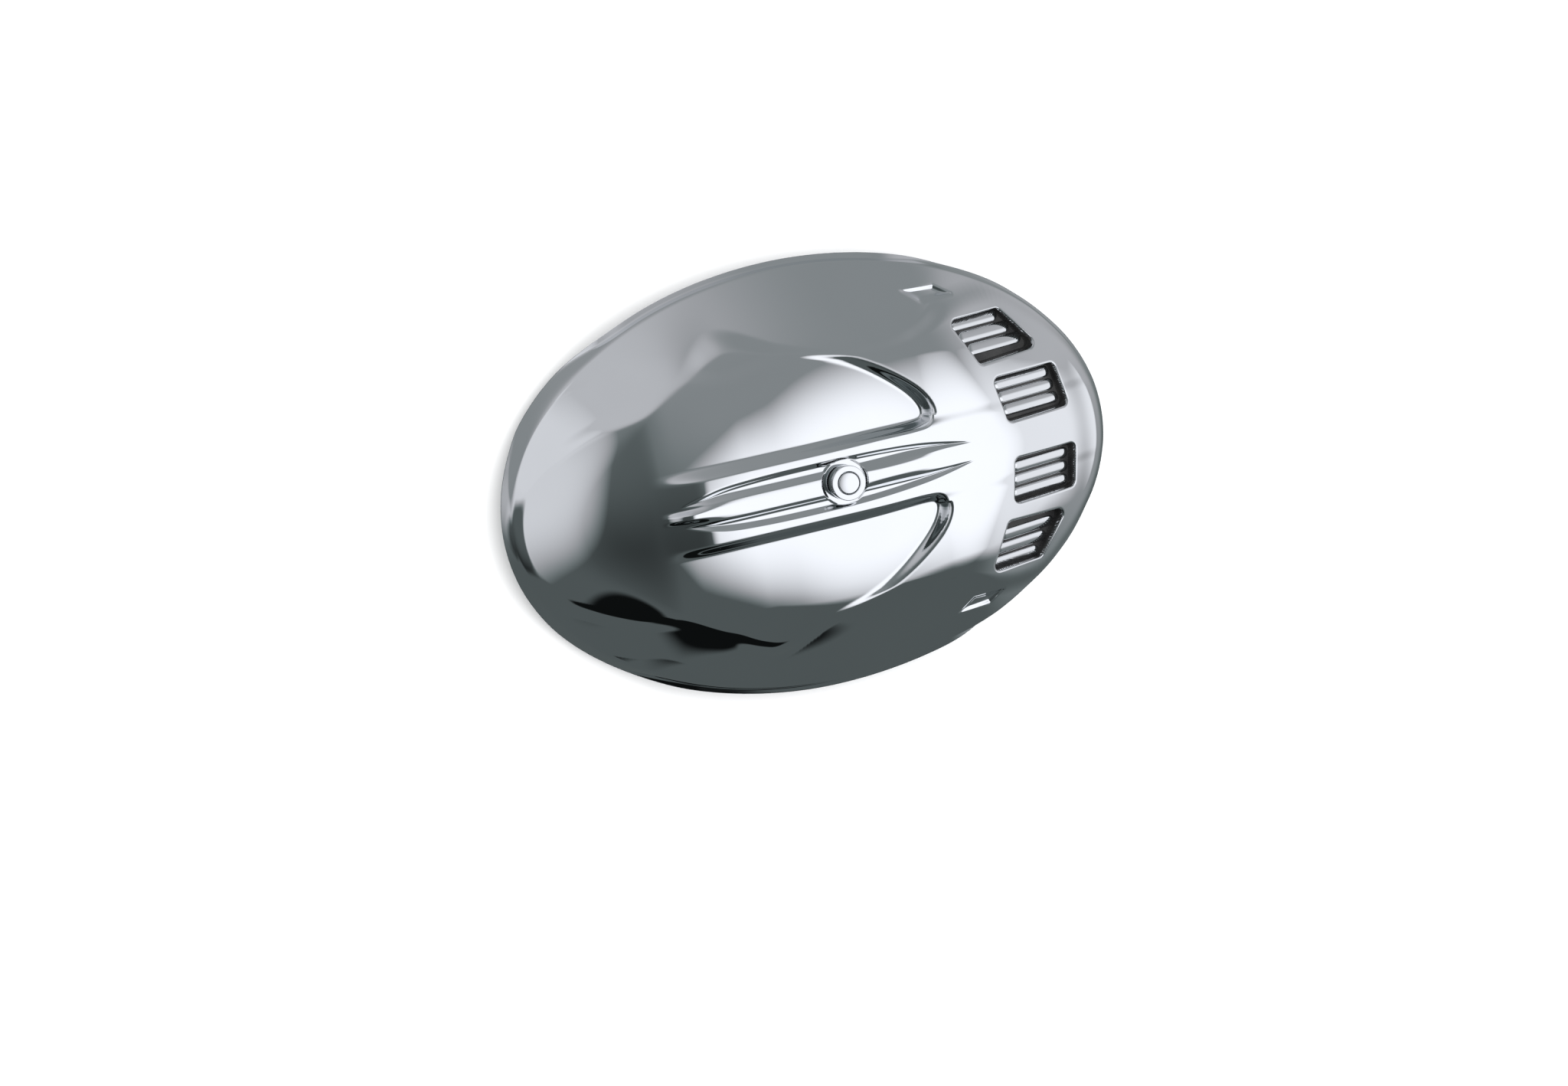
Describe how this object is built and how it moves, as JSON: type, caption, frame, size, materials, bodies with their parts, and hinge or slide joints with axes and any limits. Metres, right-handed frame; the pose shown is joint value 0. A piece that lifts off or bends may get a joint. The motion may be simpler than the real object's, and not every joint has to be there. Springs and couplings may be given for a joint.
{
  "type": "oval air cleaner",
  "caption": "Oval motorcycle air cleaner: louvred, sculpted chrome cover on one captive screw, over a bracket, pleated filter, velocity stack and backing plate.",
  "frame": {"origin": "centre of the oval in plan, on the plane of the rearmost screw tips", "axes": "+Z out through the cover, +X along the oval towards the louvres, +Y across it"},
  "size_m": [0.25, 0.171, 0.0724],
  "materials": {
    "chrome_plate": "mirror polished chrome plate",
    "zinc_steel": "bright zinc plated",
    "spring_steel": "dark oiled spring steel",
    "cast_aluminium": "satin die casting",
    "black_rubber": "moulded matt rubber",
    "gasket_paper": "fibre gasket sheet",
    "filter_gauze": "oiled cotton gauze in pleats",
    "mesh_wire": "woven wire",
    "brass": "turned brass",
    "black_paint": "black powder coat"
  },
  "bodies": {
    "base": {"backing_plate": "cast_aluminium", "bracket_insert": "brass", "breather_bolt_front": "zinc_steel", "breather_bolt_rear": "zinc_steel", "breather_seal_front": "black_rubber", "breather_seal_rear": "black_rubber", "breather_washer_front": "zinc_steel", "breather_washer_rear": "zinc_steel", "filter_base_seal": "black_rubber", "filter_inner_mesh": "mesh_wire", "filter_media": "filter_gauze", "filter_outer_mesh": "mesh_wire", "filter_screw_1": "zinc_steel", "filter_screw_2": "zinc_steel", "filter_screw_3": "zinc_steel", "filter_top_cap": "black_paint", "intake_gasket": "gasket_paper", "intake_screw_1": "zinc_steel", "intake_screw_2": "zinc_steel", "intake_screw_3": "zinc_steel", "locating_grommet_left": "black_rubber", "locating_grommet_right": "black_rubber", "mounting_bracket": "zinc_steel", "velocity_stack": "cast_aluminium"},
    "cover": {"cover_shell": "chrome_plate", "louvre_insert_1": "chrome_plate", "louvre_insert_2": "chrome_plate", "louvre_insert_3": "chrome_plate", "louvre_insert_4": "chrome_plate", "louvre_push_nut_1": "spring_steel", "louvre_push_nut_2": "spring_steel", "louvre_push_nut_3": "spring_steel", "louvre_push_nut_4": "spring_steel", "louvre_push_nut_5": "spring_steel", "louvre_push_nut_6": "spring_steel", "louvre_push_nut_7": "spring_steel", "louvre_push_nut_8": "spring_steel"},
    "washer": {"screw_washer": "black_rubber"},
    "screw": {"cover_screw": "chrome_plate", "screw_dress_cap": "chrome_plate", "screw_retaining_ring": "spring_steel"}
  },
  "joints": [
    {"name": "cover_lift", "type": "slide", "parent": "base", "child": "cover", "axis": [0, 0, 1], "range_m": [0, 0.08]},
    {"name": "screw_travel", "type": "slide", "parent": "cover", "child": "washer", "axis": [0, 0, 1], "range_m": [0, 0.00889]},
    {"name": "screw_turn", "type": "hinge", "parent": "washer", "child": "screw", "pos_m": [0, 0, 0.066], "axis": [0, 0, 1], "range_deg": [0, 2520]}
  ],
  "couplings": [
    {"joint": "screw_travel", "follows": "screw_turn", "m_per_rad": 0.0002021}
  ]
}
